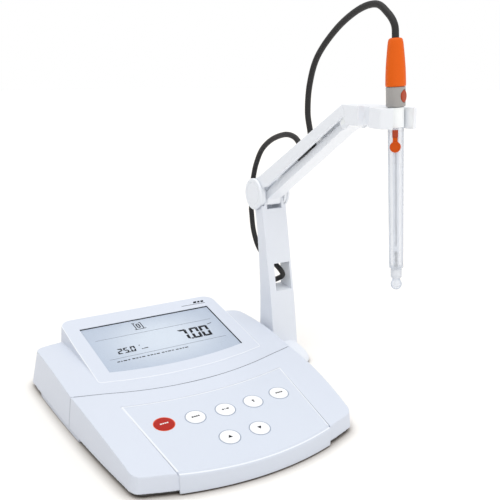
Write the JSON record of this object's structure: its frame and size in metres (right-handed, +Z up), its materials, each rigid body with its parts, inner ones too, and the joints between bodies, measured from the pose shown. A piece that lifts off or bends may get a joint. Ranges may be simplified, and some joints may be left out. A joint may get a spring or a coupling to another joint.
{
  "type": "benchtop ph meter",
  "caption": "Desktop pH meter: sloping two-part case with display and round keys, and a parallel-link arm beside it holding a pH electrode.",
  "frame": {"origin": "on the table, at the middle of the assembly's overall length and width (bottom centre of its bounding box)", "axes": "+Z up, +Y to the rear, +X to the user's right, the side on which the electrode arm stands"},
  "size_m": [0.229, 0.279, 0.2975],
  "materials": {
    "case": "fine moulded cool-white ABS",
    "panel": "satin printed overlay",
    "silicone": "soft grey silicone",
    "circuit_board": "solder-masked board",
    "window": "clear acrylic",
    "lcd": "pale blue-grey display glass",
    "connector_metal": "nickel-plated",
    "black_plastic": "moulded black",
    "foot_rubber": "matt rubber",
    "screw_steel": "zinc-plated",
    "bracket_steel": "zinc-plated sheet",
    "arm_white": "satin white moulding",
    "cable": "matt dark grey jacket",
    "orange": "soft orange moulding",
    "collar_grey": "satin grey moulding",
    "electrode_body": "translucent pale polycarbonate",
    "glass": "clear glass",
    "key_white": "smooth white key cap",
    "key_red": "smooth red key cap"
  },
  "bodies": {
    "root": {"rear_cover": "case", "front_cover": "case", "bottom_case": "case", "keypad_panel": "panel", "key_mat": "silicone", "key_board": "circuit_board", "display_window": "window", "lcd_module": "lcd", "lcd_board": "circuit_board", "main_board": "circuit_board", "ribbon_cable": "silicone", "bnc_socket": "connector_metal", "temp_socket": "connector_metal", "power_socket": "black_plastic", "bnc_plug": "connector_metal", "foot_front_left": "foot_rubber", "foot_front_right": "foot_rubber", "foot_rear_left": "foot_rubber", "foot_rear_right": "foot_rubber", "case_screw_1": "screw_steel", "case_screw_2": "screw_steel", "case_screw_3": "screw_steel", "case_screw_4": "screw_steel", "arm_bracket": "bracket_steel", "bracket_screw_1": "screw_steel", "bracket_screw_2": "screw_steel", "bracket_screw_3": "screw_steel", "bracket_screw_4": "screw_steel", "post": "arm_white", "link_pin_lower": "screw_steel", "hinge_screw_left": "screw_steel", "hinge_screw_right": "screw_steel", "cable_lower": "cable"},
    "bnc_ring_body": {"bnc_ring": "connector_metal"},
    "upper_arm_body": {"upper_arm": "arm_white", "hinge_cap_left": "arm_white", "hinge_cap_right": "arm_white", "cable_in_arm": "cable", "cable_loop_lower": "cable", "cable_loop_upper": "cable"},
    "link_body": {"link_bar": "arm_white"},
    "head_body": {"holder_head": "arm_white", "head_pin": "screw_steel", "link_pin_upper": "screw_steel"},
    "electrode_body": {"electrode_cap": "orange", "electrode_collar": "collar_grey", "collar_insert": "orange", "electrode_shaft": "electrode_body", "inner_tube": "glass", "tip_guard": "electrode_body", "glass_bulb": "glass", "stopper_strap": "orange"},
    "stopper_body": {"filler_stopper": "orange"},
    "key_red_body": {"key_red": "key_red"},
    "key_mode_body": {"key_mode": "key_white"},
    "key_range_body": {"key_range": "key_white"},
    "key_store_body": {"key_store": "key_white"},
    "key_enter_body": {"key_enter": "key_white"},
    "key_up_body": {"key_up": "key_white"},
    "key_down_body": {"key_down": "key_white"}
  },
  "joints": [
    {"name": "key_red_press", "type": "slide", "parent": "root", "child": "key_red_body", "axis": [0, -0.137, 0.9906], "range_m": [-0.0006, 0], "stiffness_N_per_m": 250},
    {"name": "key_mode_press", "type": "slide", "parent": "root", "child": "key_mode_body", "axis": [0, -0.137, 0.9906], "range_m": [-0.0006, 0], "stiffness_N_per_m": 250},
    {"name": "key_range_press", "type": "slide", "parent": "root", "child": "key_range_body", "axis": [0, -0.137, 0.9906], "range_m": [-0.0006, 0], "stiffness_N_per_m": 250},
    {"name": "key_store_press", "type": "slide", "parent": "root", "child": "key_store_body", "axis": [0, -0.137, 0.9906], "range_m": [-0.0006, 0], "stiffness_N_per_m": 250},
    {"name": "key_enter_press", "type": "slide", "parent": "root", "child": "key_enter_body", "axis": [0, -0.137, 0.9906], "range_m": [-0.0006, 0], "stiffness_N_per_m": 250},
    {"name": "key_up_press", "type": "slide", "parent": "root", "child": "key_up_body", "axis": [0, -0.137, 0.9906], "range_m": [-0.0006, 0], "stiffness_N_per_m": 250},
    {"name": "key_down_press", "type": "slide", "parent": "root", "child": "key_down_body", "axis": [0, -0.137, 0.9906], "range_m": [-0.0006, 0], "stiffness_N_per_m": 250},
    {"name": "arm_lift", "type": "hinge", "parent": "root", "child": "upper_arm_body", "pos_m": [0.09891, 0.04716, 0.1452], "axis": [1, 0, 0], "range_deg": [-40, 38], "deforming": ["cable_loop_lower"]},
    {"name": "link_swing", "type": "hinge", "parent": "root", "child": "link_body", "pos_m": [0.09891, 0.04306, 0.139], "axis": [1, 0, 0], "range_deg": [-40, 38]},
    {"name": "head_level", "type": "hinge", "parent": "upper_arm_body", "child": "head_body", "pos_m": [0.09891, -0.06944, 0.222], "axis": [1, 0, 0], "range_deg": [-38, 40], "deforming": ["cable_loop_upper"]},
    {"name": "electrode_lift", "type": "slide", "parent": "head_body", "child": "electrode_body", "axis": [-0.0505, 0.0291, 0.9983], "range_m": [0, 0.03], "deforming": ["cable_loop_upper"]},
    {"name": "stopper_open", "type": "hinge", "parent": "electrode_body", "child": "stopper_body", "pos_m": [0.09324, -0.12374, 0.20996], "axis": [-0.711, 0.701, -0.0564], "range_deg": [0, 70]},
    {"name": "bnc_ring_turn", "type": "hinge", "parent": "root", "child": "bnc_ring_body", "pos_m": [0.03441, 0.08883, 0.021], "axis": [0, 1, 0], "range_deg": [0, 90]}
  ],
  "couplings": [
    {"joint": "link_swing", "follows": "arm_lift", "ratio": 1},
    {"joint": "head_level", "follows": "arm_lift", "ratio": -1}
  ]
}
